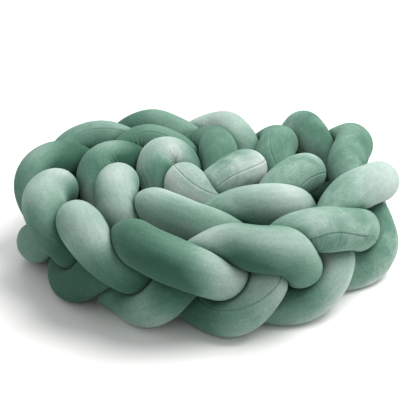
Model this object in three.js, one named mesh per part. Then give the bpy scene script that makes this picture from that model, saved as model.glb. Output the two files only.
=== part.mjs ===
// A braided crib bumper: three stuffed velour tubes in a flat plait.
// The plait stands on its lower edge and is coiled up into a nest.
// Millimetres, +Z up. The nest rests on z = 0, with the origin in the middle of its footprint.
// It is seen from the front, so -Y is towards the eye and +X is to the right.

import * as THREE from 'three';

// The tubes.
const tubeCount = 3;
const tubeRadius = 34; // where a tube is free and fully stuffed
const footHeight = 26.5; // centre of a tube where it turns under, so some 6 mm of it is pressed flat
const contactGap = 0.6; // between two covers that lie against each other
const domeLength = 42; // a closed tube end rounds off over this length
const domePower = 2.2; // above 2, so a stuffed end is fuller than a ball
const outerEnd = 0.35; // in crests, where all three tubes end on the outside
const innerEnds = [21.7, 22.75, 24]; // in crests, where each tube ends in the middle
const velourColour = 0x86ad9a;

// How finely the tubes are made.
const sides = 14; // of a tube's section
const ringSpacing = 20; // along a tube
const domeStations = [9, 24]; // rings in a dome, from the tube's end
const routeSpacing = 6; // between the points of a tube's middle line
const eveningRounds = 8; // in which a middle line loses its kinks
const turnStep = 0.04; // in crests, when a tube is followed round the plait

// How stuffed covers press on each other. Lengths are along a tube.
const samePlace = 14; // closer than this, two points are the same piece of cloth
const sameBend = 110; // closer than this, two points belong to the same bend
const bendShare = 0.92; // of a bend's own radius that its inner side may fill
const softeningRounds = 4; // in which the edges of pressed places round off
const softStep = 0.7; // that a point may stand above the mean of the points beside it
const floorward = -0.8; // a direction that points down more than this ends on the floor
const settlingRounds = 6; // in which a cover that is too near a neighbour draws in
const tiny = 1e-6;

// One row for each place where a tube passes over the top edge, from the outer end inwards.
// x, y, height: the tube's centre there. reach: how far it swings out of the plait's middle.
// lift: how much higher than an even wave it stays where it then swings out.
// footX, footY: where the tube under that place turns under the bottom edge. Where no foot is
// given, it lies straight under the line of the crests.
function crest(x, y, height, reach, lift = 0, footX = undefined, footY = undefined) {
  return { x, y, height, reach, lift, footX, footY };
}
const crests = [
  crest(120, 286, 66, 10), // the outer end, tucked low behind the nest
  crest(177, 248, 140, 20), // outer turn, back right
  crest(257, 152, 139, 24),
  crest(247, -37, 138, 23, 0, 217, 199), // right
  crest(154, -199, 138, 19, -4, 268, 36),
  crest(66, -254, 136, 24, 13, 233, -98), // front
  crest(-94, -250, 138, 22, 0, 110, -218),
  crest(-183, -186, 137, 11, 0, 11, -240),
  crest(-252, -53, 136, 20, 0, -110, -204), // left
  crest(-260, 71, 141, 21, 0, -214, -124),
  crest(-194, 184, 140, 24, 0, -268, 26),
  crest(-88, 247, 140, 24), // back
  crest(42, 229, 140, 24),
  crest(124, 150, 139, 24), // inner turn, back right
  crest(145, 12, 138, 22), // right
  crest(92, -101, 136, 22), // front
  crest(-66, -126, 136, 22, 0, 102, -51),
  crest(-145, -28, 136, 14), // left
  crest(-164, 83, 140, 22),
  crest(-92, 159, 143, 22), // back
  crest(19, 149, 139, 22),
  crest(57, 32, 139, 14), // the last small turn
  crest(-34, -8, 130, 10, -20, 17, 74),
  crest(-69, 97, 145, 26, 0, -40, 2),
  crest(-14, 121, 111, 0, 0, -50, 49),
  crest(2, 64, 110, 10, 0, -18, 82), // the inner end, hidden in the middle
];
const lastCrest = crests.length - 1;
const footLag = tubeCount / 2; // from a crest to where the same tube turns under, in crests

// A smooth line through the rows, read at any place: 2.5 is midway from row 2 to row 3.
function lineThrough(points) {
  const line = new THREE.CatmullRomCurve3(points, false, 'catmullrom', 0.5);
  return (place) => line.getPoint(THREE.MathUtils.clamp(place / lastCrest, 0, 1));
}

const topLine = lineThrough(crests.map((row) => new THREE.Vector3(row.x, row.y, row.height)));
const reachLine = lineThrough(crests.map((row) => new THREE.Vector3(row.reach, 0, 0)));

// The crest that a tube at this place has come from, and how many crests away that is.
function lastCrestOf(tube, place) {
  const since = THREE.MathUtils.euclideanModulo(tube - place, tubeCount);
  const row = crests[Math.min(Math.round(place + since), lastCrest)];
  return { row, since };
}
const outwardPart = tubeCount / 4; // of a tube's way on from a crest, in crests

function footOf(row, index) {
  if (row.footX !== undefined) return new THREE.Vector3(row.footX, row.footY, footHeight);
  if (index < footLag) {
    const onward = topLine(0).sub(topLine(1)).multiplyScalar(footLag - index);
    return topLine(0).add(onward).setZ(footHeight);
  }
  return topLine(index - footLag).setZ(footHeight);
}
const footLine = lineThrough(crests.map(footOf));

// The middle line of one tube. It goes round the plait like a flat figure of eight: over the top,
// down the outside, through the middle, down the inside, under, and up again the other way.
function routeOf(tube) {
  const points = [];
  for (let place = innerEnds[tube]; place >= outerEnd; place -= turnStep) {
    const turn = (2 * Math.PI * (tube - place)) / tubeCount;
    const topShare = (1 + Math.cos(turn)) / 2;
    const before = Math.min(place + turnStep, lastCrest);
    const after = Math.max(place - turnStep, 0);
    const topWay = topLine(after).sub(topLine(before));
    const footWay = footLine(after + footLag).sub(footLine(before + footLag));
    const way = footWay.lerp(topWay, topShare).setZ(0).normalize();
    const outward = new THREE.Vector3(way.y, -way.x, 0);
    const point = footLine(place + footLag).lerp(topLine(place), topShare);
    point.addScaledVector(outward, reachLine(place).x * Math.sin(2 * turn));
    const { row, since } = lastCrestOf(tube, place);
    if (since < outwardPart) point.z += row.lift * Math.sin((Math.PI * since) / outwardPart) ** 2;
    points.push(point);
  }
  return points;
}

function lengthsAlong(points) {
  const travelled = [0];
  for (let i = 1; i < points.length; i += 1) {
    travelled.push(travelled[i - 1] + points[i].distanceTo(points[i - 1]));
  }
  return travelled;
}

// Even steps from one distance along a tube to another.
function evenStations(from, to, spacing) {
  const count = Math.round((to - from) / spacing);
  return Array.from({ length: count + 1 }, (_, i) => from + ((to - from) * i) / count);
}

function pointsAt(route, travelled, stations) {
  let i = 0;
  return stations.map((station) => {
    while (i < route.length - 2 && travelled[i + 1] < station) i += 1;
    const share = (station - travelled[i]) / (travelled[i + 1] - travelled[i]);
    return { at: route[i].clone().lerp(route[i + 1], share), station };
  });
}

// A stuffed tube doesn't kink, so each point of its middle line moves towards the ones beside it.
function evenedOut(route) {
  const travelled = lengthsAlong(route);
  const stations = evenStations(0, travelled[travelled.length - 1], routeSpacing);
  let line = pointsAt(route, travelled, stations).map((point) => point.at);
  for (let round = 0; round < eveningRounds; round += 1) {
    line = line.map((at, i) => {
      if (i === 0 || i === line.length - 1) return at;
      return at.clone().multiplyScalar(2).add(line[i - 1]).add(line[i + 1]).divideScalar(4);
    });
  }
  return line;
}

const tubes = Array.from({ length: tubeCount }, (_, tube) => {
  const route = evenedOut(routeOf(tube));
  const travelled = lengthsAlong(route);
  const length = travelled[travelled.length - 1];
  const middle = pointsAt(route, travelled, evenStations(0, length, routeSpacing));
  const body = evenStations(domeLength, length - domeLength, ringSpacing);
  const farDome = domeStations.map((station) => length - station).reverse();
  const rings = pointsAt(route, travelled, [...domeStations, ...body, ...farDome]);
  return { length, middle, rings };
});

// The way that a tube runs at a station, from the points of its middle line on both sides.
function directionAt(tube, station) {
  const { middle } = tube;
  const i = Math.round(station / middle[1].station);
  const ahead = middle[Math.min(i + 1, middle.length - 1)].at;
  const behind = middle[Math.max(i - 1, 0)].at;
  return ahead.clone().sub(behind).normalize();
}

// The points of all middle lines that are near enough to a ring to press on it.
function neighboursOf(tube, ring) {
  const farthest = 2 * tubeRadius + ringSpacing;
  return tubes.flatMap((other) => {
    const near = other.middle.filter((point) => point.at.distanceTo(ring.at) < farthest);
    return near.map((point) => {
      const along = other === tube ? Math.abs(point.station - ring.station) : Infinity;
      return { at: point.at, along };
    });
  });
}

// How far the cover reaches from the middle line in one direction. A free tube is round.
// Against a neighbour it is pressed flat, halfway between the two middle lines.
// On the inside of its own bend it is gathered, and at the floor it is flat.
function reachOfCover(tube, ring, direction) {
  const fromEnd = Math.min(ring.station, tube.length - ring.station);
  const intoDome = Math.max(1 - fromEnd / domeLength, 0);
  let reach = tubeRadius * Math.sqrt(1 - intoDome ** domePower);
  const offset = new THREE.Vector3();
  for (const { at, along } of ring.neighbours) {
    const facing = offset.subVectors(at, ring.at).dot(direction);
    if (along < samePlace || facing < tiny) continue;
    const halfway = offset.lengthSq() / (2 * facing);
    reach = Math.min(reach, along < sameBend ? halfway * bendShare : halfway - contactGap / 2);
  }
  if (direction.z < 0) reach = Math.min(reach, ring.at.z / -direction.z);
  return reach;
}

const up = new THREE.Vector3(0, 0, 1);

// Gives each ring of a tube the directions of its points, the first one straight down.
function shapeRings(tube) {
  for (const ring of tube.rings) {
    const along = directionAt(tube, ring.station);
    const sideways = along.clone().cross(up).normalize();
    const upward = sideways.clone().cross(along);
    ring.directions = Array.from({ length: sides }, (_, side) => {
      const angle = (2 * Math.PI * side) / sides;
      const across = sideways.clone().multiplyScalar(Math.sin(angle));
      return across.addScaledVector(upward, -Math.cos(angle));
    });
    ring.neighbours = neighboursOf(tube, ring);
    ring.reaches = ring.directions.map((direction) => reachOfCover(tube, ring, direction));
  }
}

const nextTo = (side) => (side + 1) % sides;

// A stuffed cover has no sharp edge where a pressed place begins, so high points draw in a little.
function soften(rings) {
  for (let round = 0; round < softeningRounds; round += 1) {
    const before = rings.map((ring) => ring.reaches);
    rings.forEach((ring, i) => {
      const here = before[i];
      const behind = before[Math.max(i - 1, 0)];
      const ahead = before[Math.min(i + 1, rings.length - 1)];
      ring.reaches = here.map((reach, side) => {
        if (ring.directions[side].z < floorward) return reach;
        const beside = here[nextTo(side)] + here[(side + sides - 1) % sides];
        return Math.min(reach, (beside + behind[side] + ahead[side]) / 4 + softStep);
      });
    });
  }
}

const coverPoint = (ring, side) =>
  ring.at.clone().addScaledVector(ring.directions[side], ring.reaches[side]);

// Every four points of two rings make two triangles, parted along the lower diagonal, so that
// they stay under the cover where it is hollow.
function partedForward(ring, ahead, side) {
  const forward = ring.reaches[side] + ahead.reaches[nextTo(side)];
  return forward <= ahead.reaches[side] + ring.reaches[nextTo(side)] + tiny;
}

// How far a point has come past the surface halfway between its own tube and the nearest other.
function excessAt(ring, point) {
  let own = Infinity;
  let other = Infinity;
  for (const { at, along } of ring.neighbours) {
    const distance = at.distanceTo(point);
    if (along < sameBend) own = Math.min(own, distance);
    else other = Math.min(other, distance);
  }
  return Math.max((own - other + contactGap) / 2, 0);
}

// The cover is straight between its points, so there it can still cut into a neighbour.
function settle(rings) {
  for (let i = 0; i < rings.length - 1; i += 1) {
    const [ring, ahead] = [rings[i], rings[i + 1]];
    for (let side = 0; side < sides; side += 1) {
      const edges = [
        [ring, side, ahead, side],
        [ring, side, ring, nextTo(side)],
        partedForward(ring, ahead, side)
          ? [ring, side, ahead, nextTo(side)]
          : [ahead, side, ring, nextTo(side)],
      ];
      for (const [from, fromSide, to, toSide] of edges) {
        const middle = coverPoint(from, fromSide).lerp(coverPoint(to, toSide), 0.5);
        const excess = excessAt(from, middle);
        from.reaches[fromSide] -= excess;
        to.reaches[toSide] -= excess;
      }
    }
  }
}

// One closed cover: rings of points round the middle line, and a single point at each end.
function coverGeometry(tube) {
  const { rings, middle } = tube;
  const positions = [];
  for (const ring of rings) {
    for (let side = 0; side < sides; side += 1) {
      const point = coverPoint(ring, side);
      positions.push(point.x, point.y, Math.max(point.z, 0));
    }
  }
  const firstTip = rings.length * sides;
  const lastTip = firstTip + 1;
  positions.push(...middle[0].at.toArray(), ...middle[middle.length - 1].at.toArray());

  const faces = [];
  const lastRing = firstTip - sides;
  for (let side = 0; side < sides; side += 1) {
    faces.push(firstTip, side, nextTo(side));
    faces.push(lastTip, lastRing + nextTo(side), lastRing + side);
    for (let i = 0; i < rings.length - 1; i += 1) {
      const [a, b] = [i * sides + side, i * sides + nextTo(side)];
      const [c, d] = [a + sides, b + sides];
      if (partedForward(rings[i], rings[i + 1], side)) faces.push(a, c, d, a, d, b);
      else faces.push(a, c, b, c, d, b);
    }
  }
  const geometry = new THREE.BufferGeometry();
  geometry.setAttribute('position', new THREE.Float32BufferAttribute(positions, 3));
  geometry.setIndex(faces);
  geometry.computeVertexNormals();
  return geometry;
}

function stuffedTube(tube, index) {
  shapeRings(tube);
  soften(tube.rings);
  for (let round = 0; round < settlingRounds; round += 1) settle(tube.rings);
  const velour = new THREE.MeshStandardMaterial({
    color: velourColour,
    roughness: 0.9,
    metalness: 0,
  });
  const cover = new THREE.Mesh(coverGeometry(tube), velour);
  cover.name = `stuffed_tube_${index + 1}`;
  return cover;
}

const bumper = new THREE.Group();
bumper.add(...tubes.map(stuffedTube));

export default bumper;
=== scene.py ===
# %% [markdown]
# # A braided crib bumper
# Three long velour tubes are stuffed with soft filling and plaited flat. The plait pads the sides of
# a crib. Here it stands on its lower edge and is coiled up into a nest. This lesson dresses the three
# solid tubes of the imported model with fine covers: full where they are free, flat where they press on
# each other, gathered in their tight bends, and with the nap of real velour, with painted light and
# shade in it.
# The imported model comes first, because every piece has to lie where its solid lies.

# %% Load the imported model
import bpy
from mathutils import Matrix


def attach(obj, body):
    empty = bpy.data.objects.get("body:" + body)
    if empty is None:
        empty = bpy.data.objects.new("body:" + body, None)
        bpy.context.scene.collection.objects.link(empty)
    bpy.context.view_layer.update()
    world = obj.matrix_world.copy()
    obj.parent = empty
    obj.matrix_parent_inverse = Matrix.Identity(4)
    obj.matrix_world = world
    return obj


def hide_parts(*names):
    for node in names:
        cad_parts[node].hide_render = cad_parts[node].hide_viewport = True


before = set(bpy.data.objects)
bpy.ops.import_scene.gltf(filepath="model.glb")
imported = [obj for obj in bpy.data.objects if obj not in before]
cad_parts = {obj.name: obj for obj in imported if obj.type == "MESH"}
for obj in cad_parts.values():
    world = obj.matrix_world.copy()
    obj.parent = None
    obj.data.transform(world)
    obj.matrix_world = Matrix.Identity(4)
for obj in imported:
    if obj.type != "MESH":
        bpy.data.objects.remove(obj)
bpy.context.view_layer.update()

from types import SimpleNamespace

import bpy
import numpy as np
from mathutils import Vector

# %% [markdown]
# ## The camera
# The photograph looks down on the nest by about 23 degrees from a distance, with a long lens, so that
# near and far tubes look almost alike in size. An empty could be its target, but two points give the
# direction too and leave nothing in the scene.

# %% Place the camera
DISTANCE = 1.8
LOOKS_DOWN = np.radians(23.5)
TARGET = Vector((0.002, -0.006, 0.09))
FOCAL_LENGTH = 95.0
SENSOR_WIDTH = 36.0


def place(name, data):
    """Makes an object of its data and puts it into the scene."""
    placed = bpy.data.objects.new(name, data)
    bpy.context.scene.collection.objects.link(placed)
    return placed


camera_data = bpy.data.cameras.new("nest camera")
camera_data.lens = FOCAL_LENGTH
camera_data.sensor_width = SENSOR_WIDTH
camera = place("nest camera", camera_data)
towards_camera = Vector((0, -np.cos(LOOKS_DOWN), np.sin(LOOKS_DOWN)))
camera.location = TARGET + DISTANCE * towards_camera
camera.rotation_euler = (-towards_camera).to_track_quat("-Z", "Y").to_euler()
bpy.context.scene.camera = camera
print("camera at", tuple(round(x, 3) for x in camera.location))

# %% [markdown]
# ## The sizes of a tube
# A tube is a sewn velour cover, about 68 mm thick where nothing presses on it. All sizes that follow
# are in metres, and MM turns a size in millimetres into metres.

# %% Set the tubes' sizes
MM = 0.001
TUBES = 3
TUBE_RADIUS = 34 * MM
FOOT_HEIGHT = 26.5 * MM     # the centre of a tube where it turns under and rests
print("a free tube is", round(2 * TUBE_RADIUS / MM), "mm thick")

# %% [markdown]
# ## The crests of the plait
# A plait looks complicated, but each tube does the same thing over and over: it passes over the top
# edge, dives through the middle, turns under the bottom edge and comes up again. So one short table is
# enough, the one that the solids were made from. It has a row for each place where a tube passes over
# the top edge, from the outer end to the middle: the tube's centre, how far it swings out of the
# plait's middle, how much higher than an even wave it stays as it then swings out, and where the tube
# under it turns under. The rows go to the tubes in turn: first, second, third, first.

# %% Write down the crests
# x, y, height, reach, lift, foot x, foot y, all in millimetres; no foot: straight under the crests
CRESTS = [
    (120, 286, 66, 10, 0),  # the outer end, tucked low behind the nest
    (177, 248, 140, 20, 0),  # outer turn, back right
    (257, 152, 139, 24, 0),
    (247, -37, 138, 23, 0, 217, 199),  # right
    (154, -199, 138, 19, -4, 268, 36),
    (66, -254, 136, 24, 13, 233, -98),  # front
    (-94, -250, 138, 22, 0, 110, -218),
    (-183, -186, 137, 11, 0, 11, -240),
    (-252, -53, 136, 20, 0, -110, -204),  # left
    (-260, 71, 141, 21, 0, -214, -124),
    (-194, 184, 140, 24, 0, -268, 26),
    (-88, 247, 140, 24, 0),  # back
    (42, 229, 140, 24, 0),
    (124, 150, 139, 24, 0),  # inner turn, back right
    (145, 12, 138, 22, 0),  # right
    (92, -101, 136, 22, 0),  # front
    (-66, -126, 136, 22, 0, 102, -51),
    (-145, -28, 136, 14, 0),  # left
    (-164, 83, 140, 22, 0),
    (-92, 159, 143, 22, 0),  # back
    (19, 149, 139, 22, 0),
    (57, 32, 139, 14, 0),  # the last small turn
    (-34, -8, 130, 10, -20, 17, 74),
    (-69, 97, 145, 26, 0, -40, 2),
    (-14, 121, 111, 0, 0, -50, 49),
    (2, 64, 110, 10, 0, -18, 82),  # the inner end, hidden in the middle
]
LAST_CREST = len(CRESTS) - 1
FOOT_LAG = TUBES / 2        # from a crest to where the same tube turns under, in crests
print(len(CRESTS), "crests")

# %% [markdown]
# ## Smooth lines through the rows
# A curve object with handles would do, but a tube's path has to be read at any place and mixed with
# another path, so the lines are worked out with plain arithmetic: a Catmull-Rom spline, which passes
# through every row. Place 2.5 is midway from row 2 to row 3.

# %% Read a smooth line anywhere
def smooth_line(rows, places):
    rows = np.asarray(rows, float)
    places = np.clip(places, 0, len(rows) - 1)
    first = np.clip(np.floor(places).astype(int), 0, len(rows) - 2)
    share = (places - first)[:, None]
    longer = np.vstack([2 * rows[0] - rows[1], rows, 2 * rows[-1] - rows[-2]])
    a, b, c, d = (longer[first + step] for step in range(4))
    curve = 2 * b + (c - a) * share + (2 * a - 5 * b + 4 * c - d) * share**2
    return (curve + (3 * b - 3 * c + d - a) * share**3) / 2


tops = np.array([row[:3] for row in CRESTS]) * MM
reaches_out = np.array([[row[3]] for row in CRESTS]) * MM
lifts = np.array([row[4] for row in CRESTS]) * MM


def foot_of(index):
    foot = CRESTS[index][5:]
    if foot:
        spot = np.array(foot) * MM
    elif index < FOOT_LAG:
        spot = tops[0] + (tops[0] - tops[1]) * (FOOT_LAG - index)
    else:
        spot = smooth_line(tops, np.array([index - FOOT_LAG]))[0]
    return np.array([spot[0], spot[1], FOOT_HEIGHT])


feet = np.array([foot_of(index) for index in range(len(CRESTS))])
print(f"feet from x {feet[:, 0].min():.3f} to {feet[:, 0].max():.3f}")

# %% [markdown]
# ## Tools for long rows of numbers
# A tube is a long row of points, with values along it and round it. A modifier can smooth a mesh but
# can't give one value at one place, so a few small functions measure a row, read it at any station,
# smooth it, and ease from one value to the next.

# %% Make the tools
TINY = 1e-6


def unit(vectors):
    return vectors / np.linalg.norm(vectors, axis=-1, keepdims=True)


def lengths_along(points):
    steps = np.linalg.norm(np.diff(points, axis=0), axis=1)
    return np.concatenate([[0], np.cumsum(steps)])


def at_stations(values, along, stations):
    values = np.asarray(values, float)
    if values.ndim == 1:
        return np.interp(stations, along, values)
    return np.stack([np.interp(stations, along, column) for column in values.T], 1)


def blurred(values, sigma, wrap=False):
    """Smooths values along their first axis, over about sigma steps to each side."""
    reach = int(np.ceil(3 * sigma))
    weights = np.exp(-0.5 * (np.arange(-reach, reach + 1) / sigma) ** 2)
    weights /= weights.sum()
    padding = [(reach, reach)] + [(0, 0)] * (values.ndim - 1)
    longer = np.pad(values, padding, mode="wrap" if wrap else "edge")
    return sum(w * longer[i:i + len(values)] for i, w in enumerate(weights))


def smooth_step(values, low, high):
    share = np.clip((values - low) / (high - low), 0, 1)
    return share * share * (3 - 2 * share)


print(f"the plait is {lengths_along(tops)[-1]:.1f} m long from crest to crest")

# %% [markdown]
# ## The middle line of each tube
# Seen along the plait, a tube draws a flat figure of eight: over the top, down the outside, through the
# middle, down the inside and under. Drawn by hand, that seldom comes out even. Here a cosine takes it
# from the line of the crests to the line of the feet and back, and a sine of twice the pace swings it
# outwards and inwards. Three such paths, a third of a turn apart, make the plait.

# %% Follow the tubes round the plait
OUTER_END = 0.35            # in crests, where all three tubes end on the outside
INNER_ENDS = (21.7, 22.75, 24.0)
TURN_STEP = 0.04            # between two points of a path, in crests
OUTWARD_PART = TUBES / 4    # of a tube's way on from a crest, in crests


def follow(tube):
    places = np.arange(INNER_ENDS[tube], OUTER_END - TINY, -TURN_STEP)
    turn = 2 * np.pi * (tube - places) / TUBES
    top_share = ((1 + np.cos(turn)) / 2)[:, None]
    before = np.minimum(places + TURN_STEP, LAST_CREST)
    after = np.maximum(places - TURN_STEP, 0)
    top_way = smooth_line(tops, after) - smooth_line(tops, before)
    foot_way = smooth_line(feet, after + FOOT_LAG) - smooth_line(feet, before + FOOT_LAG)
    way = top_way * top_share + foot_way * (1 - top_share)
    outward = unit(np.stack([way[:, 1], -way[:, 0], 0 * way[:, 0]], 1))
    spot = smooth_line(tops, places) * top_share
    spot += smooth_line(feet, places + FOOT_LAG) * (1 - top_share)
    swing = smooth_line(reaches_out, places) * np.sin(2 * turn)[:, None]
    spot += outward * swing
    since = (tube - places) % TUBES
    crest = np.minimum(np.round(places + since).astype(int), LAST_CREST)
    raised = lifts[crest] * np.sin(np.pi * since / OUTWARD_PART) ** 2
    spot[:, 2] += np.where(since < OUTWARD_PART, raised, 0)
    return spot, places


paths = [follow(index) for index in range(TUBES)]
print("points on the paths:", [len(path) for path, _ in paths])

# %% [markdown]
# ## No kinks
# A stuffed tube doesn't kink. A Smooth modifier would treat gentle stretches and tight turns alike.
# Here each point moves a little towards the points beside it, eight times over. Where a tube turns
# back on itself its stuffing won't fold flat: there the points move a few times more, and the bend
# gives way to its outside.

# %% Even out the middle lines
ROUTE_STEP = 6 * MM
EVENING_ROUNDS = 8          # in which a middle line loses its kinks
ROUNDING_ROUNDS = 14        # the same, in the sharpest bends only
SHARPEST = (1.0, 1.25)      # where those begin and are in full: the tube's radius over the bend's
SHARPEST_BLUR = 4.0         # in points of the route
BEND_OUT = 2.5 * MM         # how far such a bend gives way to its outside
FINE = 2 * MM               # between the points of a finished middle line
WAY_BLUR = 8.0              # in points of that line
BEND_BLUR = 4.0


def evened(line, rounds):
    line = line.copy()
    for _ in range(rounds):
        line[1:-1] = (line[:-2] + 2 * line[1:-1] + line[2:]) / 4
    return line


def rounded(line):
    """Widens the sharpest bends, where the stuffing keeps a tube from folding flat."""
    turn = np.zeros(line.shape)
    turn[1:-1] = line[2:] - 2 * line[1:-1] + line[:-2]
    sharpness = np.linalg.norm(turn, axis=1) / ROUTE_STEP**2 * TUBE_RADIUS
    share = blurred(smooth_step(sharpness, *SHARPEST), SHARPEST_BLUR)[:, None]
    share[:1] = share[-1:] = 0
    wide = evened(line, ROUNDING_ROUNDS)
    outward = -turn / ROUTE_STEP**2 * TUBE_RADIUS * BEND_OUT
    return line + share * (wide + outward - line)


def make_tube(index, path, places):
    along = lengths_along(path)
    even = np.linspace(0, along[-1], round(along[-1] / ROUTE_STEP) + 1)
    route = rounded(evened(at_stations(path, along, even), EVENING_ROUNDS))
    places = np.interp(even, along, places)
    along = lengths_along(route)
    stations = np.linspace(0, along[-1], int(along[-1] / FINE))
    tube = SimpleNamespace(index=index, name=f"tube_{index + 1}", length=along[-1])
    tube.stations = stations
    tube.middle = at_stations(route, along, stations)
    tube.places = at_stations(places, along, stations)
    tube.way = unit(blurred(np.gradient(tube.middle, stations, axis=0), WAY_BLUR))
    tube.bend = blurred(np.gradient(tube.way, stations, axis=0), BEND_BLUR)
    return tube


tubes = [make_tube(index, *path) for index, path in enumerate(paths)]
for tube in tubes:
    tightest = 1 / np.linalg.norm(tube.bend, axis=1).max()
    print(f"{tube.name}: {tube.length:.2f} m long, tightest bend {tightest / MM:.0f} mm")

# %% [markdown]
# ## Rings along a tube
# The cover is a mesh of rings, like a very long cylinder that follows the middle line. A curve with a
# bevel would space them evenly, but gathers need small faces and a gentle stretch does not. So the
# rings stand closer where the tube bends sharply and at the few wrinkled places.

# %% Space the rings
WIDE_STEP = 3.6 * MM
CLOSE_STEP = 1.6 * MM
CLOSE_BENDS = (0.4, 0.65)   # from and to which sharpness: the tube's radius over the bend's
CLOSE_BLUR = 6.0            # in points of the middle line
WRINKLED = [                # from and to which place, and the angle and half width, in degrees
    [(4.55, 4.2, 135, 20)],
    [(4.3, 3.45, 74, 22)],
    [(3.8, 3.4, 140, 22)],
]
TIP_STATIONS = np.array([0.15, 0.8, 1.9, 3.4]) * MM   # close together, where a dome's tip is blunt
TIP_ROOM = 5 * MM


def space_rings(tube):
    sharpness = np.linalg.norm(tube.bend, axis=1) * TUBE_RADIUS
    close = smooth_step(sharpness, *CLOSE_BENDS)
    for start, end, _, _ in WRINKLED[tube.index]:
        close = np.maximum(close, (tube.places < start) & (tube.places > end))
    close = blurred(close, CLOSE_BLUR)
    density = 1 / (WIDE_STEP + (CLOSE_STEP - WIDE_STEP) * close)
    counted = np.concatenate([[0], np.cumsum(density[:-1] * np.diff(tube.stations))])
    rings = np.interp(np.arange(1, int(counted[-1])), counted, tube.stations)
    rings = rings[(rings > TIP_ROOM) & (rings < tube.length - TIP_ROOM)]
    return np.concatenate([TIP_STATIONS, rings, tube.length - TIP_STATIONS[::-1]])


for tube in tubes:
    tube.rings = space_rings(tube)
    tube.ring_at = at_stations(tube.middle, tube.stations, tube.rings)
    tube.ring_way = unit(at_stations(tube.way, tube.stations, tube.rings))
    tube.ring_bend = at_stations(tube.bend, tube.stations, tube.rings)
    tube.ring_place = at_stations(tube.places, tube.stations, tube.rings)
    print(f"{tube.name}: {len(tube.rings)} rings")

# %% [markdown]
# ## The seam
# Each cover is one strip of velour, closed by a seam along its whole length. The tubes were turned and
# twisted while they were plaited, so the seam shows on some crests and hides under others. A seam that
# is only painted on looks flat from the side, so the rings start at it and follow it round. The rows
# say where it is: the place in crests, and the angle round the tube. 0 is straight down, 90 faces out
# of the nest, 180 is on top, 270 faces the middle of the nest, and -60 is the same as 300.

# %% Lay the seams
SEAM_ANGLES = [
    [(22.0, 116), (20.9, 120), (19.5, 170), (18.0, 197), (16.5, 285), (0, 300)],
    [(23.0, 160), (22.1, 154), (21.6, 140), (20.2, 190), (19.1, 211), (18.0, 280), (15.0, 290),
     (13.2, 196), (12.0, 240), (10.6, 216), (9.7, 214), (8.4, 280), (7.0, 260), (5.8, 140),
     (5.0, 121), (4.7, 117), (4.35, 92), (4.1, 98), (3.9, 104), (3.6, 88), (3.4, 62), (2.6, 0),
     (1.0, -60), (0, -60)],
    [(24.0, 250), (23.3, 205), (23.0, 150), (22.0, 60), (20.5, 20), (17.0, 20), (15.0, 60),
     (14.0, 104), (13.8, 100), (13.5, 70), (13.2, 50), (12.0, 250), (10.0, 260), (8.3, 205),
     (7.7, 218), (6.5, 290), (0, 300)],
]
SEAM_BLUR = 3.0             # in rings


def eased(places, rows):
    """Reads rows of (place, value), with the place falling, and eases from each value to the next."""
    keys = np.array(sorted(rows))
    right = np.clip(np.searchsorted(keys[:, 0], places), 1, len(keys) - 1)
    low, high = keys[right - 1], keys[right]
    share = smooth_step(places, low[:, 0], high[:, 0])
    return low[:, 1] + (high[:, 1] - low[:, 1]) * share


for tube, rows in zip(tubes, SEAM_ANGLES):
    tube.seam = blurred(np.radians(eased(tube.ring_place, rows)), SEAM_BLUR)
    print(f"{tube.name}: seam from {np.degrees(tube.seam.min()):.0f} degrees "
          f"to {np.degrees(tube.seam.max()):.0f}")

# %% [markdown]
# ## The points of a ring
# The points start at the seam and go once round. They stand close together beside the seam, so that
# its groove is real geometry and not only shading. Elsewhere they are evenly spaced.

# %% Spread the points round each ring
BESIDE_SEAM = np.array([0.8, 1.8, 3.2])   # from the seam to the first points, in mm
ROUND_MM = 2 * np.pi * TUBE_RADIUS / MM
EVEN_POINTS = 60
even = np.linspace(BESIDE_SEAM[-1], ROUND_MM - BESIDE_SEAM[-1], EVEN_POINTS)
around_mm = np.concatenate([[0], BESIDE_SEAM[:-1], even, ROUND_MM - BESIDE_SEAM[-2::-1]])
around = around_mm / ROUND_MM * 2 * np.pi
from_seam = np.minimum(around_mm, ROUND_MM - around_mm) * MM
SIDES = len(around)
UP = np.array([0, 0, 1])

for tube in tubes:
    sideways = unit(np.cross(tube.ring_way, UP))
    upward = np.cross(sideways, tube.ring_way)
    tube.angles = tube.seam[:, None] + around[None, :]
    tube.directions = (np.sin(tube.angles)[..., None] * sideways[:, None, :]
                       - np.cos(tube.angles)[..., None] * upward[:, None, :])
print(SIDES, "points round a ring")

# %% [markdown]
# ## Where the covers press on each other
# A cloth simulation of three plaited tubes, nearly four metres each, would take long and push them out
# of their places. The answer that it would give is simple: two equally full tubes share the room
# between them, so each ends halfway between the two middle lines. Every point of a ring asks, in its
# own direction, how soon it is nearer to another middle line than to its own. The same test on the
# tube's own line stops the inside of a sharp bend, and the floor stops what turns under.

# %% Find how far the covers may reach
CONTACT_GAP = 0.6 * MM      # between two covers that press on each other
SAME_PLACE = 14 * MM        # closer along a tube, two points are the same piece of cloth
SAME_BEND = 110 * MM        # closer along a tube, two points belong to the same bend
BEND_SHARE = 1.3            # of a bend's own radius that its inner side may fill
NEIGHBOUR_STEP = 3          # every third point of the middle lines is tested
NEAR = 2 * TUBE_RADIUS + 8 * MM   # further off, no tube can press on this one

lines = np.concatenate([tube.middle[::NEIGHBOUR_STEP] for tube in tubes])
line_tube = np.concatenate([np.full(len(t.middle[::NEIGHBOUR_STEP]), t.index) for t in tubes])
line_station = np.concatenate([tube.stations[::NEIGHBOUR_STEP] for tube in tubes])


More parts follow.
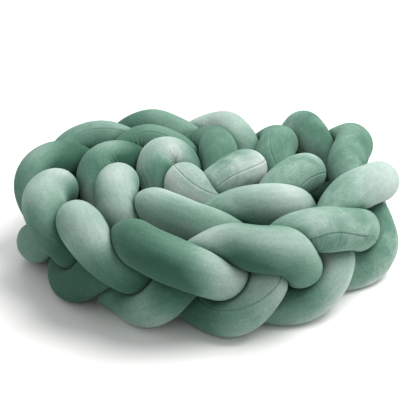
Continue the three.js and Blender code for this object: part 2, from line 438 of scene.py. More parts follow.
def limits_of_ring(tube, ring):
    centre = tube.ring_at[ring]
    offsets = lines - centre
    squared = (offsets**2).sum(1)
    along = np.where(line_tube == tube.index, abs(line_station - tube.rings[ring]), np.inf)
    near = (squared < NEAR**2) & (along > SAME_PLACE)
    offsets, squared, along = offsets[near], squared[near], along[near]
    facing = tube.directions[ring] @ offsets.T
    with np.errstate(divide="ignore", invalid="ignore"):
        halfway = np.where(facing > TINY, squared / (2 * facing), np.inf)
    apart = np.where(along < SAME_BEND, np.inf, halfway - CONTACT_GAP / 2)
    own = np.where(along < SAME_BEND, halfway * BEND_SHARE, np.inf)
    down = -tube.directions[ring][:, 2]
    floor = np.where(down > 0, centre[2] / np.maximum(down, TINY), np.inf)
    return apart.min(1, initial=np.inf), own.min(1, initial=np.inf), floor


for tube in tubes:
    found = [limits_of_ring(tube, ring) for ring in range(len(tube.rings))]
    tube.pressed, tube.bent, tube.floor = (np.array(limits) for limits in zip(*found))
    print(f"{tube.name}: {np.mean(tube.pressed < TUBE_RADIUS):.0%} of the cover is pressed")

# %% [markdown]
# ## Full, soft and uneven
# Stuffing is never even, and a stuffed cover has no sharp edge where it begins to press on another. So
# the free radius gets slow, shallow swells, it gives way softly to the limits, and the result is
# smoothed a little. In a sharp bend the stuffing is squeezed out to both sides, so there the section is
# a little wider than round.

# %% Fill the tubes
DOME_LENGTH = 42 * MM       # over which a closed end rounds off
DOME_POWER = 2.2            # above 2, so a stuffed end is fuller than a ball
SOFT_EDGE = 7 * MM          # over which a cover gives way to its neighbours
SOFT_BEND = 7 * MM          # the same on the inside of its own bends
SOFT_ALONG = 1.6            # how far a cover evens itself out, in rings
SOFT_ROUND = 1.3            # the same round the tube, in points
SWELL = 0.9 * MM
SWELL_WAVES = ((230, 0), (150, 1), (95, 1), (80, 2), (60, 2))    # length in mm, waves round the tube
BEND_BULGE = 0.16           # of the radius, to both sides of the sharpest bends
BULGING_BENDS = (0.6, 1.5)
BULGE_BLUR = 4.0            # in rings


def bend_of(tube):
    """How sharp the bend is at each ring, as radius over bend radius, and which points are inside."""
    sharpness = np.linalg.norm(tube.ring_bend, axis=1)
    inward = tube.ring_bend / np.maximum(sharpness, TINY)[:, None]
    facing = np.einsum("rsk,rk->rs", tube.directions, inward)
    return sharpness * TUBE_RADIUS, facing


def dome(tube):
    from_end = np.minimum(tube.rings, tube.length - tube.rings)
    into = np.clip(1 - from_end / DOME_LENGTH, 0, 1)
    return TUBE_RADIUS * np.sqrt(1 - into**DOME_POWER)


def swells(tube):
    draw = np.random.default_rng(40 + tube.index)
    total = np.zeros((len(tube.rings), SIDES))
    for length, turns in SWELL_WAVES:
        start, twist = draw.uniform(0, 2 * np.pi, 2)
        wave = 2 * np.pi * tube.rings[:, None] / (length * MM) + start
        total += np.sin(wave + turns * tube.angles + twist)
    return total * SWELL / (len(SWELL_WAVES) / 2)


def soft_minimum(a, b, softness):
    share = np.clip(0.5 + (b - a) / (2 * softness), 0, 1)
    return b * (1 - share) + a * share - softness * share * (1 - share)


def fill(tube):
    sharpness, facing = bend_of(tube)
    squeezed = blurred(smooth_step(sharpness, *BULGING_BENDS), BULGE_BLUR)[:, None] * (1 - facing**2)
    free = dome(tube)[:, None] * (1 + BEND_BULGE * squeezed)
    free = free + swells(tube) * (dome(tube) / TUBE_RADIUS)[:, None]
    reach = soft_minimum(free, np.minimum(tube.bent, 2 * TUBE_RADIUS), SOFT_BEND)
    reach = soft_minimum(reach, np.minimum(tube.pressed, 2 * TUBE_RADIUS), SOFT_EDGE)
    reach = blurred(reach, SOFT_ALONG)
    reach = blurred(reach.T, SOFT_ROUND, wrap=True).T
    return np.minimum(reach, tube.pressed)


for tube in tubes:
    tube.reach = fill(tube)
    low, high = tube.reach.min() / MM, tube.reach.max() / MM
    print(f"{tube.name}: reach {low:.1f} to {high:.1f} mm")

# %% [markdown]
# ## Gathers
# On the inside of a sharp bend there is too much cloth for the shorter way, so it folds into small
# gathers that run round the tube. Each gather is a narrow valley of its own depth. They fade out where
# the bend gets gentle, and towards the outside of the bend. A simulation makes such folds wherever they
# fall, and a formula puts them where the real ones are.

# %% Add the gathers
GATHER_PITCH = 9.5 * MM
GATHER_DEPTH = 3.4 * MM
GATHER_WIDTH = 0.24         # of the pitch
GATHER_SLANT = 0.25         # the same, and at most
GATHER_SHIFT = 0.18         # the same
SHALLOWEST = 0.35           # of the depth
GATHERED_BENDS = (0.4, 0.8)
GATHER_BLUR = 3.0           # in rings
INSIDE = (-0.1, 0.75)       # of a bend: from its flanks, 0, to the middle of its inner side, 1


def gathers(tube):
    draw = np.random.default_rng(7 + tube.index)
    sharpness, facing = bend_of(tube)
    inside = smooth_step(facing, *INSIDE)
    strength = blurred(smooth_step(sharpness, *GATHERED_BENDS), GATHER_BLUR)
    slant = draw.uniform(-GATHER_SLANT, GATHER_SLANT)
    count = tube.rings[:, None] / GATHER_PITCH + slant * np.sin(tube.angles)
    nearest = np.round(count).astype(int)
    depths = draw.uniform(SHALLOWEST, 1, nearest.max() + 2)
    shifts = draw.uniform(-GATHER_SHIFT, GATHER_SHIFT, nearest.max() + 2)
    valley = np.exp(-(((count - nearest - shifts[nearest]) / GATHER_WIDTH) ** 2))
    return GATHER_DEPTH * strength[:, None] * inside * depths[nearest] * valley


for tube in tubes:
    tube.drawn_in = gathers(tube)
    print(f"{tube.name}: deepest gather {tube.drawn_in.max() / MM:.1f} mm")

# %% [markdown]
# ## Pleats and wrinkles
# The sewn-up ends are drawn together too, with pleats that meet at the tip. Fine wrinkles cross the
# cloth beside the longer hand-sewn opening and where two tubes slip under their neighbours. A texture
# would do for these, but real folds catch the light in every view.

# %% Add pleats and wrinkles
END_PLEATS = 13
END_PLEAT_DEPTH = 2.4 * MM
END_PLEAT_LENGTH = 46 * MM
WRINKLE_PITCH = 5.8 * MM
WRINKLE_DEPTH = 1.5 * MM
WRINKLE_WIDTH = 1.7 * MM


def end_pleats(tube):
    from_end = np.minimum(tube.rings, tube.length - tube.rings)
    strength = np.clip(1 - from_end / END_PLEAT_LENGTH, 0, 1)[:, None] ** 0.8
    fold = np.cos(END_PLEATS * around + 0.8 * np.sin(3 * around))[None, :]
    narrow = (dome(tube) / TUBE_RADIUS)[:, None]
    return END_PLEAT_DEPTH * strength * narrow * (0.5 + 0.5 * fold) ** 1.5


def wrinkles(tube):
    draw = np.random.default_rng(60 + tube.index)
    total = np.zeros((len(tube.rings), SIDES))
    angles = np.degrees(tube.angles) % 360
    for start, end, angle, half_width in WRINKLED[tube.index]:
        first, last = np.interp([-start, -end], -tube.ring_place, tube.rings)
        for station in np.arange(first, last, WRINKLE_PITCH) + draw.uniform(0, 2 * MM):
            aside = (angles - angle - draw.uniform(-6, 6)) / (half_width * draw.uniform(0.6, 1.1))
            lean = draw.uniform(-1.5, 1.5) * MM * aside
            valley = np.exp(-(((tube.rings[:, None] - station - lean) / WRINKLE_WIDTH) ** 2))
            total += draw.uniform(0.4, 1.0) * valley * np.exp(-aside**2)
    return WRINKLE_DEPTH * total


for tube in tubes:
    tube.drawn_in = tube.drawn_in + wrinkles(tube)
    tube.reach = tube.reach - tube.drawn_in - end_pleats(tube)
    print(f"{tube.name}: {np.mean(tube.drawn_in > WRINKLE_DEPTH):.1%} lies in folds")

# %% [markdown]
# ## The seam's groove
# A seam pulls the cloth in: a narrow groove, with the velour standing up a little on both sides. The
# thread is tighter than the cloth, so small puckers cross the seam and die out beside it. They are
# strongest where the seam lies on the outside of a crest and the stuffing stretches it.

# %% Press in the seam
GROOVE_DEPTH = 0.75 * MM
GROOVE_WIDTH = 1.0 * MM
SHOULDER = 0.45 * MM
SHOULDER_AT = 2.4 * MM
SHOULDER_WIDTH = 1.3 * MM
PUCKER_PITCH = 5.5 * MM
PUCKER_DEPTH = 0.22 * MM
PUCKER_SPREAD = 9 * MM
THINNEST = 0.3 * MM         # no cover is drawn in further

groove = GROOVE_DEPTH * np.exp(-((from_seam / GROOVE_WIDTH) ** 2))
shoulder = SHOULDER * np.exp(-(((from_seam - SHOULDER_AT) / SHOULDER_WIDTH) ** 2))


def puckers(tube):
    draw = np.random.default_rng(90 + tube.index)
    count = tube.rings / PUCKER_PITCH
    count = count + 0.35 * np.sin(tube.rings / (31 * MM) + draw.uniform(0, 6))
    patchy = 0.6 + 0.4 * np.sin(tube.rings / (47 * MM) + draw.uniform(0, 6))
    wave = np.sin(2 * np.pi * count) * patchy
    return wave[:, None] * np.exp(-from_seam / PUCKER_SPREAD)[None, :]


for tube in tubes:
    tube.reach = tube.reach - (groove - shoulder)[None, :] + PUCKER_DEPTH * puckers(tube)
    limit = np.minimum(np.minimum(tube.pressed, tube.bent), tube.floor)
    tube.reach = np.minimum(np.maximum(tube.reach, THINNEST), limit)
    tube.points = tube.ring_at[:, None, :] + tube.directions * tube.reach[..., None]
    tube.points[..., 2] = np.maximum(tube.points[..., 2], 0)
print(f"groove {GROOVE_DEPTH / MM:.2f} mm deep")

# %% [markdown]
# ## How the nap lies, with painted light and shade
# Velour is dark where you look into its pile and light where you look along it, so every stroke of a
# hand leaves a lighter or darker area. On this nest whole stretches of tube differ, and many a tube is
# lighter on top than on its flank, because of how the light falls. Noise alone can't say which stretch
# is light, and weights painted on the mesh are lost when it is rebuilt, so rows of numbers say it. They
# give, for a place on a tube, the lay of the nap, from about -2, dark, to 1, light; the darkest rows
# also paint the shade where a tube dives under its neighbours. A third number is painted light and
# shade: how much lighter the top is than the flank. A row with no third number has an even flank and
# top. A second list paints light and shade in the same way on the side that faces out, and a third
# says how ragged hands have left the nap. The mesh carries the values to its material as attributes.

# %% Brush the nap, with painted light and shade
NAP = [
    [(22.0, 0.5), (21.5, 0.7), (21.25, 0.2, 0.1), (21.05, 0.6, 0.5), (20.8, 0.7, 1.1), (20.3, 0.3),
     (18.6, -0.8), (18.3, -1.8, 0.8), (18.0, -1.5, 2.9), (17.65, 0.25, -1.6), (17.3, 0.75, -0.9),
     (16.5, -0.2), (15.55, -0.3), (15.2, 0.2, 0.3), (14.85, 0.5, 0.5), (14.2, -0.5),
     (12.7, 0), (12.4, 0.1), (12.05, 0.6), (11.7, 0.7), (11.3, 0.2),
     (9.6, -0.8), (9.25, -1.1, -0.7), (8.9, -1.15, 2.1), (8.55, -0.5, 0.2), (8.0, -0.5),
     (7.5, -1.7), (7.15, -1.4), (6.8, -1.8, -0.7), (6.3, -0.9, -0.5), (6.05, -0.8, -0.5),
     (5.75, -1.5, 2.2), (5.4, 0.55, 0.5), (5.1, 0.4), (4.7, -0.2, -0.2), (4.35, -0.2, -0.9),
     (4.2, 0.2, -1.0), (4.0, 0.9, -0.9), (3.6, 0.1), (3.3, 0), (2.95, 0.7, -0.1),
     (2.6, 0.9), (2.2, 0.2), (1.9, -1.0), (0, -0.2)],
    [(23.0, 0.6), (22.2, 0.9, -0.5), (21.85, 0.8, -0.8), (21.5, 0.2), (20.0, -0.6),
     (19.05, -0.5, 0.4), (18.7, -0.8), (18.3, -0.6), (17.5, 0), (16.25, 0.4),
     (15.9, 0.4, -0.8), (15.5, 0.15, -0.5), (14.6, -0.3), (13.45, 0.1, -0.8), (13.1, -0.3),
     (12.6, -0.3), (10.3, 0, 0.2), (9.95, -0.5, 0.9), (9.6, -0.3), (8.5, -0.4),
     (7.85, 0), (7.15, -0.1, 1.2), (6.8, 0.2, 0.4), (6.6, 0, 0.9), (6.45, -0.1, 0.7), (6.1, -1.9),
     (5.75, -0.7, -0.2), (5.4, -0.75, -0.7), (5.15, 0, -0.4), (4.8, 0.45, 0.2), (4.35, -0.4),
     (4.0, 0.1, 0.4), (3.65, 0, -0.3), (3.2, 0.1), (1.55, -0.1, -0.6), (1.2, 0.1, -0.9),
     (0.8, 0.1), (0, -0.4)],
    [(24.0, 0.3), (23.3, 0.1, -0.8), (22.95, 1.3, -0.8), (22.75, 0.8, -0.9),
     (22.55, 0.05, -1.6), (22.2, -0.3),
     (20.45, -0.4, -0.2), (20.1, -0.2, -0.3), (19.7, -0.05, -1.4), (17.3, 0.5), (16.95, -0.05, 1.2),
     (16.6, 0.4), (16.2, -0.2), (14.4, 0), (14.0, 0), (13.7, 0.2),
     (11.6, -0.4), (11.3, -0.2, 0.3), (11.0, -0.4, 0.5), (10.65, -1.1), (10.3, -0.9),
     (8.5, -0.6, 1.0), (8.2, -1.15, 2.5), (7.85, 0.4, 0.2), (7.5, -0.5, 0.6), (7.15, -2.4),
     (6.8, -0.6, 0.1), (6.4, -0.95, -1.4), (6.1, 0.4, -0.1), (5.75, -1.5, -0.4), (5.4, 0.7, -0.3),
     (5.05, -0.75, 2.7), (4.7, -0.1, 1.3), (4.35, 0, 0.3), (3.9, -0.5), (3.65, 0.35, -0.4),
     (3.3, 0, -1.2), (2.95, 0.3, -1.0), (2.6, 0.2, -0.3), (2.25, -0.4), (1.9, -0.3),
     (0, -0.3)],
]
FLANK_HEIGHT = 0.4          # where a tube has its mean lay: 0 is beside the middle line, 1 on top
OUTER = [                   # painted light and shade: how much lighter the side that faces out of the nest is: place, value
    [(21.5, 0), (20.8, 1.6), (20.3, 0), (6.4, 0), (6.05, -0.5), (5.75, 0.4), (5.4, 0.5), (5.0, 0),
     (4.7, 0), (4.35, -1.0), (4.0, -1.0), (3.6, 0)],
    [(16.4, 0), (15.9, -0.9), (15.5, -0.6), (15.0, 0), (8.2, 0), (7.85, -0.7), (7.4, 0), (6.7, 0),
     (6.45, -0.7), (6.2, 0), (5.5, -1.5), (5.05, -0.4), (4.7, 1.0), (4.4, 0)],
    [(8.5, 0), (8.2, -0.7), (7.9, 0), (6.4, 0), (6.1, -0.9), (5.75, -0.6), (5.5, 0), (5.3, 0), (5.05, 1.3),
     (4.7, 0.8), (4.3, 0.3), (3.9, 0), (3.65, -1.6), (3.3, -0.6), (3.0, 0)],
]
FLANK_FACING = 0.6          # the same for the outer side: 0 is on top, 1 faces straight out
NAP_BLUR = 3.0              # in rings
HANDLED = [                 # how ragged hands have left the nap: the place, and 0 for smooth to 1
    [(22.0, 0.2), (21.2, 1.0), (20.6, 0.8), (20.0, 0.1), (3.9, 0.1), (3.3, 0.6), (2.8, 0.3), (2.3, 0.1),
     (0, 0.1)],
    [(23.0, 0.5), (22.0, 0.6), (21.0, 0.1), (14.2, 0.1), (13.3, 0.7), (12.6, 0.2), (4.7, 0.2), (4.2, 0.5),
     (3.5, 0.8), (3.0, 0.2), (1.7, 0.9), (1.0, 0.9), (0, 0.3)],
    [(24.0, 0.1), (22.0, 0.1), (20.6, 0.5), (20.0, 0.5), (19.0, 0.1), (14.5, 0.5), (13.6, 0.8), (13.0, 0.1),
     (4.2, 0.1), (3.7, 0.6), (3.2, 1.0), (2.2, 0.8), (1.6, 0.8), (0, 0.3)],
]

for tube, rows, outer_rows, handled_rows in zip(tubes, NAP, OUTER, HANDLED):
    lay = eased(tube.ring_place, [row[:2] for row in rows])
    on_top = eased(tube.ring_place, [(row[0], sum(row[2:])) for row in rows])
    height = -np.cos(tube.angles) - FLANK_HEIGHT
    facing_out = np.sin(tube.angles) - FLANK_FACING
    outer = eased(tube.ring_place, outer_rows)[:, None] * facing_out
    # Painted light and shade: the nap value adds the lighter or darker top, the outer side and the darkest
    # lay rows to the nap.
    tube.nap = blurred(lay[:, None] + on_top[:, None] * height + outer, NAP_BLUR)
    tube.handled = eased(tube.ring_place, handled_rows)[:, None].repeat(SIDES, 1)
    print(f"{tube.name}: mean nap {tube.nap.mean():.2f}")

# %% [markdown]
# ## Painted shade along the contacts
# Where tubes press on each other little light gets in, so a dark line runs along every contact. The
# light does half of this. The other half is painted shade, a mask that darkens the colour. An Ambient
# Occlusion node could make one, but it would also darken the open valleys. This mask says how close a
# point of the cover is to the neighbour that stops it.

# %% Mark the painted shade along the contacts
CRUSHED_WITHIN = 8 * MM
CRUSHED_ALONG = 1.5         # how softly the mask ends, in rings
CRUSHED_ROUND = 1.0         # the same round the tube, in points

for tube in tubes:
    # Painted shade: the colour darkens as the cover comes close to the neighbour that stops it.
    room = tube.pressed - tube.reach
    crushed = 1 - smooth_step(np.minimum(room, CRUSHED_WITHIN), 0, CRUSHED_WITHIN)
    tube.crushed = blurred(blurred(crushed, CRUSHED_ALONG).T, CRUSHED_ROUND, wrap=True).T
    print(f"{tube.name}: {np.mean(tube.crushed > 0.5):.0%} crushed")

# %% [markdown]
# ## From points to a mesh
# The faces join each ring to the next. The map gives every face corner its place along and round the
# tube, so that streaks in the nap can run along it. The map is cut open at the seam, where the cloth
# is cut too.

# %% Make the covers
side = np.arange(SIDES)
beside = (side + 1) % SIDES


def tube_faces(rings):
    first = np.arange(rings - 1)[:, None] * SIDES
    quads = np.stack([first + side, first + SIDES + side, first + SIDES + beside, first + beside], -1)
    return quads.reshape(-1, 4)


def tip_map(tip, last_ring, first_turn, second_turn):
    middle_turn = np.minimum(first_turn, second_turn)
    corners = (tip, middle_turn, last_ring, first_turn, last_ring, second_turn)
    return np.stack(np.broadcast_arrays(*corners), 1).reshape(-1, 2)


def make_cover(tube):
    rings = len(tube.rings)
    points = np.concatenate([tube.points.reshape(-1, 3), tube.middle[[0, -1]]])
    last, near_tip = (rings - 1) * SIDES, rings * SIDES
    near = np.stack([np.full(SIDES, near_tip), side, beside], 1)
    far = np.stack([np.full(SIDES, near_tip + 1), last + beside, last + side], 1)
    faces = tube_faces(rings).tolist() + near.tolist() + far.tolist()

    mesh = bpy.data.meshes.new(f"velour tube {tube.index + 1}")
    mesh.from_pydata(points.tolist(), [], faces)
    mesh.shade_smooth()

    # Painted shade: the shaded value darkens the colour in the valleys of gathers and wrinkles and along
    # the contacts. The nap value carries painted light and shade as well.
    shaded = tube.drawn_in / GATHER_DEPTH + tube.crushed
    carried = {"nap": tube.nap, "handled": tube.handled, "shaded": shaded}
    for name, values in carried.items():
        with_tips = np.concatenate([values.ravel(), values[[0, -1], 0]])
        mesh.attributes.new(name, "FLOAT", "POINT").data.foreach_set("value", with_tips)

    turn = np.append(around, 2 * np.pi) / (2 * np.pi)
    way = tube.rings / tube.length
    u = np.stack([way[:-1], way[1:], way[1:], way[:-1]], 1)[:, None, :].repeat(SIDES, 1)
    v = np.stack([turn[:-1], turn[:-1], turn[1:], turn[1:]], 1)[None].repeat(rings - 1, 0)
    quad_map = np.stack([u, v], -1).reshape(-1, 2)
    near_map = tip_map(0, way[0], turn[:-1], turn[1:])
    far_map = tip_map(1, way[-1], turn[1:], turn[:-1])
    corners = np.concatenate([quad_map, near_map, far_map])
    mesh.uv_layers.new(name="along and round").data.foreach_set("uv", corners.ravel())

    return place("velour_" + tube.name, mesh)


covers = [make_cover(tube) for tube in tubes]
for cover in covers:
    triangles = sum(len(face.vertices) - 2 for face in cover.data.polygons)
    print(cover.name, triangles, "triangles")

# %% [markdown]
# ## One stitch
# A seam that is sewn inside out shows no thread. The openings through which a tube was stuffed are
# closed by hand, and there a row of short, tight stitches shows. One stitch is a thin spindle. A
# bevelled curve would do too, but a small mesh is lighter.

# %% Make one stitch
STITCH_THICK = 0.5 * MM
STITCH_SLANT = 0.25
STITCH_SIDES = 5

spindle = np.array([(-0.5, 0.1), (-0.3, 0.8), (0.3, 0.8), (0.5, 0.1)])
ring_turn = np.arange(STITCH_SIDES) / STITCH_SIDES * 2 * np.pi


def stitch_points(centre, across, away, along, length):
    axis = unit(across + STITCH_SLANT * along)
    third = np.cross(axis, away)
    ring = np.cos(ring_turn)[:, None] * away + np.sin(ring_turn)[:, None] * third
    return np.concatenate([
        centre + axis * (part * length) + ring * (thick * STITCH_THICK)
        for part, thick in spindle
    ])


def stitch_faces():
    faces = []
    for step in range(len(spindle) - 1):
        low, high = step * STITCH_SIDES, (step + 1) * STITCH_SIDES
        for a in range(STITCH_SIDES):
            b = (a + 1) % STITCH_SIDES
            faces.append((low + a, low + b, high + b, high + a))
    faces.append(tuple(range(STITCH_SIDES))[::-1])
    faces.append(tuple(range(3 * STITCH_SIDES, 4 * STITCH_SIDES)))
    return faces


one_stitch = stitch_faces()
print("a stitch has", len(one_stitch), "faces")

# %% [markdown]
# ## Two rows of stitches
# The wider opening needs the longer stitches. All of them are joined into a single mesh, which is far
# lighter than one object for each.

# %% Sew the openings
OPENINGS = [[], [(5.25, 4.72, 2.4), (4.3, 3.63, 3.6)], []]    # from and to which place, stitch in mm
STITCH_PITCH = 3.2 * MM
STITCH_SINK = 0.2 * MM      # into the groove


def on_tube(values, tube, station):
    return at_stations(values, tube.rings, [station])[0]


points, faces = [], []
for tube, openings in zip(tubes, OPENINGS):
    for start, end, stitch_mm in openings:
        stretch = np.interp([-start, -end], -tube.ring_place, tube.rings)
        for station in np.arange(*stretch, STITCH_PITCH):
            edge_a = on_tube(tube.points[:, 2], tube, station)
            edge_b = on_tube(tube.points[:, -2], tube, station)
            across = unit(edge_a - edge_b)
            away = unit(on_tube(tube.directions[:, 0], tube, station))
            centre = (edge_a + edge_b) / 2 - away * STITCH_SINK
            first = len(points) * len(spindle) * STITCH_SIDES
            faces += [tuple(first + corner for corner in face) for face in one_stitch]
            way = unit(on_tube(tube.ring_way, tube, station))
            points.append(stitch_points(centre, across, away, way, stitch_mm * MM))

stitch_mesh = bpy.data.meshes.new("seam stitches")
stitch_mesh.from_pydata(np.concatenate(points).tolist(), [], faces)
stitch_mesh.shade_smooth()
stitches = place("seam_stitches", stitch_mesh)
print(len(points), "stitches")

# %% [markdown]
# ## The short pile
# Close up, velour is a dense field of short fibres in small tufts. Real hairs would be millions of
# strands, for a pile of a millimetre. The sum of two noises does: a speckled height and a matching
# shade. The velour and the thread both use it, so it is built once, as a shader node group with named
# inputs and outputs. It works in the object's own space and stays put in every view.

# %% Build the pile group
FIBRES = 900.0              # to a metre, about
TUFTS = 260.0


def new_group(name, vectors, numbers, outputs):
    group = bpy.data.node_groups.new(name, "ShaderNodeTree")
    for label in vectors:
        group.interface.new_socket(name=label, in_out="INPUT", socket_type="NodeSocketVector")
    for label, value in numbers.items():
        socket = group.interface.new_socket(name=label, in_out="INPUT", socket_type="NodeSocketFloat")
        socket.default_value = value
    for label in outputs:
        group.interface.new_socket(name=label, in_out="OUTPUT", socket_type="NodeSocketFloat")
    return group, group.nodes.new("NodeGroupInput"), group.nodes.new("NodeGroupOutput")


def feed(tree, node, values):
    """Gives each input of a node its number, or links it to what another node puts out."""
    for label, value in values.items():
        if isinstance(value, bpy.types.NodeSocket):
            tree.links.new(value, node.inputs[label])
        else:
            node.inputs[label].default_value = value


def noise(tree, vector, scale, detail=2.0, roughness=0.5, distortion=0.0):
    node = tree.nodes.new("ShaderNodeTexNoise")
    feed(tree, node, {"Vector": vector, "Scale": scale, "Detail": detail, "Roughness": roughness,
                      "Distortion": distortion})
    return node.outputs["Fac"]


def ramp(tree, value, low, high, to_low=0.0, to_high=1.0):
    node = tree.nodes.new("ShaderNodeMapRange")
    node.interpolation_type = "SMOOTHSTEP"
    feed(tree, node, {"Value": value, "From Min": low, "From Max": high, "To Min": to_low,
                      "To Max": to_high})
    return node.outputs["Result"]


def arithmetic(tree, operation, a, b):
    node = tree.nodes.new("ShaderNodeMath")
    node.operation = operation
    feed(tree, node, {0: a, 1: b})
    return node.outputs[0]


def weighed(tree, *parts):
    """Adds up values, each times its weight."""
    total = 0.0
    for value, weight in parts:
        total = arithmetic(tree, "ADD", total, arithmetic(tree, "MULTIPLY", value, weight))
    return total


pile_group, ins, outs = new_group("short pile", ["Vector"], {"Pile Scale": FIBRES},
                                  ["Height", "Shade"])
spot = ins.outputs["Vector"]
fibres = noise(pile_group, spot, ins.outputs["Pile Scale"], detail=3.0, roughness=0.6)
tufts = noise(pile_group, spot, TUFTS)
height = weighed(pile_group, (fibres, 0.6), (tufts, 0.4))
feed(pile_group, outs, {"Height": height, "Shade": ramp(pile_group, height, 0.3, 0.7)})
print(pile_group.name, "has", len(pile_group.nodes), "nodes")

# %% [markdown]
# ## The brushed nap
# Hands leave patches in a nap: faint clouds everywhere, with sharper edges where the mesh says that
# it was handled, and streaks along the tube. An image could hold them, but noise has no seams and no
# end. This is a node group too, and its streaks use the map, so that they follow the tube round.

# %% Build the brushed nap group
CLOUDS = 14.0               # to a metre, about
EDGES = 22.0
FAINT = 0.45                # how strong the clouds are where no hand has been
STREAKS = (60.0, 14.0, 1.0)  # along the tube and round it
STREAK_SIZE = 1.6

brush_group, ins, outs = new_group("brushed nap", ["Vector", "Map"], {"Handled": 0.5},
                                   ["Patches", "Streaks"])
spot = ins.outputs["Vector"]
clouds = noise(brush_group, spot, CLOUDS, detail=3.0, roughness=0.55, distortion=0.6)
edges = noise(brush_group, spot, EDGES, detail=4.0, roughness=0.6, distortion=1.2)
soft = ramp(brush_group, clouds, 0.3, 0.7, -1.0, 1.0)
sharp = ramp(brush_group, edges, 0.5, 0.57, -0.5, 0.5)
both = arithmetic(brush_group, "ADD", sharp, soft)
patches = weighed(brush_group, (soft, FAINT), (both, ins.outputs["Handled"]))
stretched = brush_group.nodes.new("ShaderNodeMapping")
feed(brush_group, stretched, {"Vector": ins.outputs["Map"], "Scale": STREAKS})
streaks = noise(brush_group, stretched.outputs["Vector"], STREAK_SIZE, detail=4.0, roughness=0.65,
                distortion=0.4)
streaks = ramp(brush_group, streaks, 0.35, 0.65, -1.0, 1.0)
feed(brush_group, outs, {"Patches": patches, "Streaks": streaks})
print(brush_group.name, "has", len(brush_group.nodes), "nodes")

# %% [markdown]
# ## The greens
# The velour is a deep green where one looks into its pile and a greyish sage where one looks along it.
# The painted light and shade of the nap rows and the painted shade of folds and contacts move along the
# same greens. A mix of two greens would be dull between them, so a ramp leads through four.

# %% Set the greens
DARK_GREEN = (0.011, 0.054, 0.031)
MID_GREEN = (0.099, 0.216, 0.158)
PALE_GREEN = (0.312, 0.396, 0.357)
LIGHT_GREEN = (0.520, 0.570, 0.545)
GREENS = [(0.0, DARK_GREEN), (0.45, MID_GREEN), (0.75, PALE_GREEN), (1.0, LIGHT_GREEN)]


def colour_between(tree, share, stops):
    node = tree.nodes.new("ShaderNodeValToRGB")
    node.color_ramp.interpolation = "B_SPLINE"
    elements = node.color_ramp.elements
    while len(elements) < len(stops):
        elements.new(0.5)
    for element, (position, colour) in zip(elements, stops):
        element.position = position
        element.color = (*colour, 1.0)
    tree.links.new(share, node.inputs["Fac"])
    return node.outputs["Color"]


print(len(GREENS), "greens")

# %% [markdown]
# ## Sage green velour
# A plain rough surface looks like plaster, because velour is brightest at its edges, where the eye
# meets the tips of the pile. The Principled shader's sheen does just that. Which green shows is up to
# the mesh's own nap, with its painted light and shade, first, then to patches and streaks, and last to
# the painted shade in folds and along contacts, which darkens it.

# %% Mix the velour
def new_material(name):
    material = bpy.data.materials.new(name)
    material.use_nodes = True
    tree = material.node_tree
    spots = tree.nodes.new("ShaderNodeTexCoord").outputs
    return material, tree, tree.nodes["Principled BSDF"], spots


def group_node(tree, group, values):
    node = tree.nodes.new("ShaderNodeGroup")
    node.node_tree = group
    feed(tree, node, values)
    return node.outputs


def mesh_value(tree, name):
    node = tree.nodes.new("ShaderNodeAttribute")
    node.attribute_name = name
    return node.outputs["Fac"]


def raise_pile(tree, height, strength, distance):
    bump = tree.nodes.new("ShaderNodeBump")
    feed(tree, bump, {"Height": height, "Strength": strength, "Distance": distance})
    return bump.outputs["Normal"]


SHEEN_TINT = (0.55, 0.85, 0.70, 1.0)
NAP_WEIGHT = 0.36           # how much each of these moves the lay, and so the colour
PATCH_WEIGHT = 0.075
STREAK_WEIGHT = 0.025
PILE_WEIGHT = 0.13
# painted shade in the folds' valleys and along the contacts
SHADE_WEIGHT = -0.18
MEAN_LAY = 0.435

velour, tree, shader, spots = new_material("sage velour")
brushed = group_node(tree, brush_group, {"Vector": spots["Object"], "Map": spots["UV"],
                                         "Handled": mesh_value(tree, "handled")})
pile = group_node(tree, pile_group, {"Vector": spots["Object"]})
# Painted light and shade: the nap attribute brings it with the nap, and the shaded attribute is painted
# shade.
lay = weighed(tree, (mesh_value(tree, "nap"), NAP_WEIGHT), (brushed["Patches"], PATCH_WEIGHT),
              (brushed["Streaks"], STREAK_WEIGHT), (pile["Shade"], PILE_WEIGHT),
              (mesh_value(tree, "shaded"), SHADE_WEIGHT))
lay = arithmetic(tree, "ADD", lay, MEAN_LAY)
colour = colour_between(tree, lay, GREENS)
feed(tree, shader, {"Base Color": colour, "Normal": raise_pile(tree, pile["Height"], 0.35, 0.6 * MM),
                    "Roughness": 0.9, "Specular IOR Level": 0.15, "Sheen Weight": 0.13,
                    "Sheen Roughness": 0.55, "Sheen Tint": SHEEN_TINT})
for cover in covers:
    cover.data.materials.append(velour)
print(velour.name, "has", len(tree.nodes), "nodes")

# %% [markdown]
# ## The thread
# The thread is dyed to match. It is smoother than the pile, so it shines a little, and it lies in the
# shade of the groove. It uses the same pile group at a finer scale for its twisted fibres.

# %% Mix the thread
THREAD_DARK = (0.020, 0.070, 0.042)
THREAD_FIBRES = 3000.0      # to a metre, about

thread, tree, shader, spots = new_material("matching thread")
fibre = group_node(tree, pile_group, {"Vector": spots["Object"], "Pile Scale": THREAD_FIBRES})
colour = colour_between(tree, fibre["Shade"], [(0.0, THREAD_DARK), (1.0, MID_GREEN)])
feed(tree, shader, {"Base Color": colour, "Normal": raise_pile(tree, fibre["Height"], 0.4, 0.1 * MM),
                    "Roughness": 0.6})
stitches.data.materials.append(thread)
print(thread.name, "is on", stitches.name)

# %% [markdown]
# ## Put the pieces on their body
# The covers stand for the solid tubes, which stay in the physics. All pieces ride on the one body.

# %% Attach the pieces
for tube, cover in zip(tubes, covers):
    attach(cover, "root")
    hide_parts("stuffed_" + tube.name)
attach(stitches, "root")
print("pieces:", [cover.name for cover in covers] + [stitches.name])

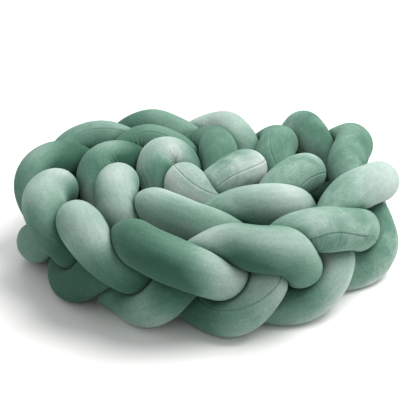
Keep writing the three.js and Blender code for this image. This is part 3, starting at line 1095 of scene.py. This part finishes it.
# %% [markdown]
# ## The floor
# The floor is plain and almost white. One flat colour looks like paper, and a picture of a real floor
# would draw the eye, so a very faint mottle does. It lies a hair below the nest, because two faces in
# the same place flicker.

# %% Lay the floor
FLOOR_SIZE = 12.0
FLOOR_DEPTH = 0.4 * MM
floor_mesh = bpy.data.meshes.new("pale floor")
half = FLOOR_SIZE / 2
floor_mesh.from_pydata([(-half, -half, 0), (half, -half, 0), (half, half, 0), (-half, half, 0)],
                       [], [(0, 1, 2, 3)])
floor = place("pale_floor", floor_mesh)
floor.location.z = -FLOOR_DEPTH
plaster, tree, shader, spots = new_material("pale floor")
mottle = noise(tree, spots["Object"], 3.0, detail=3.0)
colour = colour_between(tree, mottle, [(0.3, (0.86, 0.86, 0.855)), (0.7, (0.90, 0.90, 0.895))])
feed(tree, shader, {"Base Color": colour, "Roughness": 0.8})
floor_mesh.materials.append(plaster)
print("floor", FLOOR_SIZE, "m")

# %% [markdown]
# ## The light
# One large, soft lamp stands above and to the right, as in the photograph. A weaker one behind lights
# the tops of the far crests. Small lamps would give hard shadows, so these are wide, and a pale sky
# fills what they leave.

# %% Light the nest
CENTRE = Vector((0, 0, 0.1))
LAMP_SIZE = 1.6
SKY_STRENGTH = 0.68


def soft_lamp(name, spot, watts, colour):
    data = bpy.data.lights.new(name, "AREA")
    data.shape = "DISK"
    data.size = LAMP_SIZE
    data.energy = watts
    data.color = colour
    lamp = place(name, data)
    lamp.location = spot
    lamp.rotation_euler = (CENTRE - lamp.location).to_track_quat("-Z", "Y").to_euler()


soft_lamp("key", (0.9, 0.0, 1.9), 53, (1.0, 0.985, 0.975))
soft_lamp("back", (-0.3, 1.9, 1.6), 17, (0.99, 0.99, 1.0))
world = bpy.data.worlds.new("pale room")
world.use_nodes = True
background = world.node_tree.nodes["Background"]
feed(world.node_tree, background, {"Color": (1.0, 1.0, 1.0, 1.0), "Strength": SKY_STRENGTH})
bpy.context.scene.world = world
bpy.context.scene.view_settings.view_transform = "Standard"
